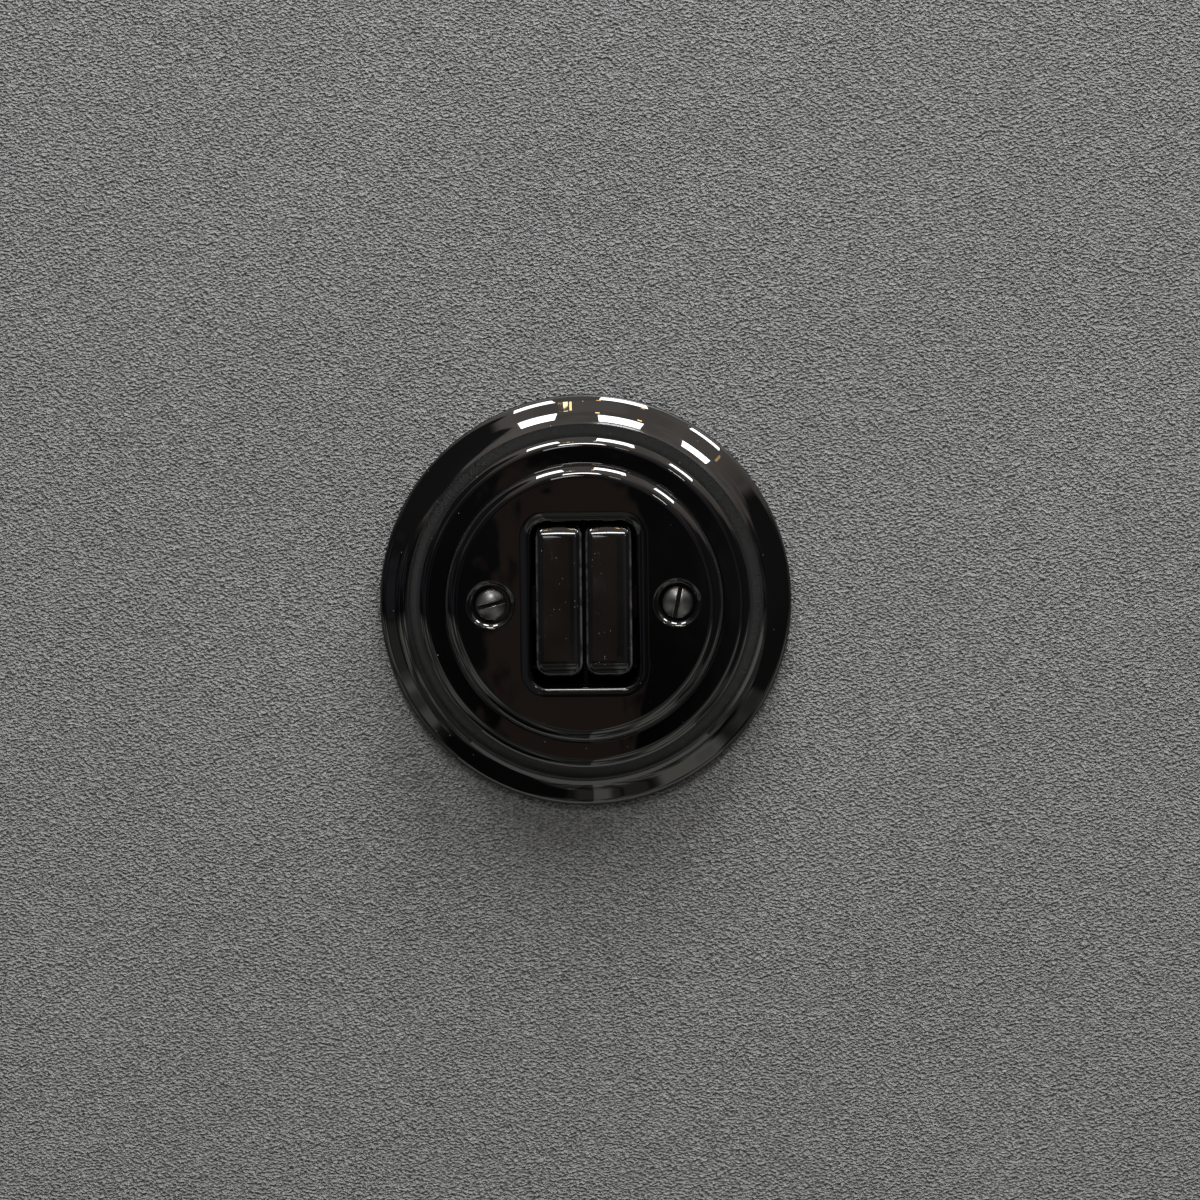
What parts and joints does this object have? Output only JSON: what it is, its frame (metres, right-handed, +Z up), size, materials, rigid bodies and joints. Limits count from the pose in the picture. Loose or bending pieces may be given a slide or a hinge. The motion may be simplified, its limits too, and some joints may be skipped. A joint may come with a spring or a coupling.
{
  "type": "porcelain roller shutter switch",
  "caption": "Round flush wall switch in glazed black porcelain with a moulded frame, a screwed cover and push rockers that run a roller shutter up or down.",
  "frame": {"origin": "centre of the switch in the plane of the finished wall, midway between the box screws", "axes": "+X to the right and +Z up as seen from the room, +Y into the wall; the switch faces -Y"},
  "size_m": [0.1, 0.048, 0.1],
  "materials": {
    "black_porcelain": "deep black glaze, mirror gloss, bare white body on the foot ring",
    "key_plastic": "polished black moulding",
    "dark_steel": "blackened steel, satin, brightened by wear",
    "zinc_steel": "zinc plated, satin",
    "axle_steel": "ground",
    "brown_phenolic": "very dark brown moulding, semi-matt",
    "black_nylon": "fine grained",
    "white_nylon": "smooth, slightly waxy",
    "spring_steel": "drawn wire",
    "brass": "stamped, lightly tarnished",
    "silver_alloy": "satin silver",
    "grey_moulding": "light grey moulding, semi-matt"
  },
  "bodies": {
    "switch_body": {"assembly_screws": "zinc_steel", "cover_plate": "black_porcelain", "cover_screws": "dark_steel", "down_strip": "brass", "feed_strip": "brass", "fixed_tips": "silver_alloy", "left_return_spring": "spring_steel", "link_strip": "brass", "mounting_plate": "zinc_steel", "outer_frame": "black_porcelain", "pivot_axle": "axle_steel", "rear_cover": "grey_moulding", "rear_cover_screw": "zinc_steel", "right_return_spring": "spring_steel", "rocker_housing": "brown_phenolic", "switch_base": "grey_moulding", "terminal_clamps": "zinc_steel", "terminal_screws": "zinc_steel", "up_strip": "brass"},
    "left_rocker": {"left_rocker_key": "key_plastic", "left_cradle": "black_nylon", "left_plunger": "white_nylon", "left_plunger_spring": "spring_steel"},
    "right_rocker": {"right_rocker_key": "key_plastic", "right_cradle": "black_nylon", "right_plunger": "white_nylon", "right_plunger_spring": "spring_steel"},
    "left_lever": {"left_contact_lever": "brass", "left_lever_tips": "silver_alloy"},
    "right_lever": {"right_contact_lever": "brass", "right_lever_tips": "silver_alloy"}
  },
  "joints": [
    {"name": "left_rocker_tilt", "type": "hinge", "parent": "switch_body", "child": "left_rocker", "pos_m": [0, -0.007, 0], "axis": [1, 0, 0], "range_deg": [0, 13], "stiffness_Nm_per_rad": 0.02, "springref_deg": -17.19, "deforming": ["left_return_spring"]},
    {"name": "left_lever_rock", "type": "hinge", "parent": "switch_body", "child": "left_lever", "pos_m": [0, 0.0056, 0], "axis": [1, 0, 0], "range_deg": [-13, 0]},
    {"name": "right_rocker_tilt", "type": "hinge", "parent": "switch_body", "child": "right_rocker", "pos_m": [0, -0.007, 0], "axis": [1, 0, 0], "range_deg": [0, 13], "stiffness_Nm_per_rad": 0.02, "springref_deg": -17.19, "deforming": ["right_return_spring"]},
    {"name": "right_lever_rock", "type": "hinge", "parent": "switch_body", "child": "right_lever", "pos_m": [0, 0.0056, 0], "axis": [1, 0, 0], "range_deg": [-13, 0]}
  ],
  "couplings": [
    {"joint": "left_lever_rock", "follows": "left_rocker_tilt", "ratio": -1},
    {"joint": "right_lever_rock", "follows": "right_rocker_tilt", "ratio": -1}
  ]
}
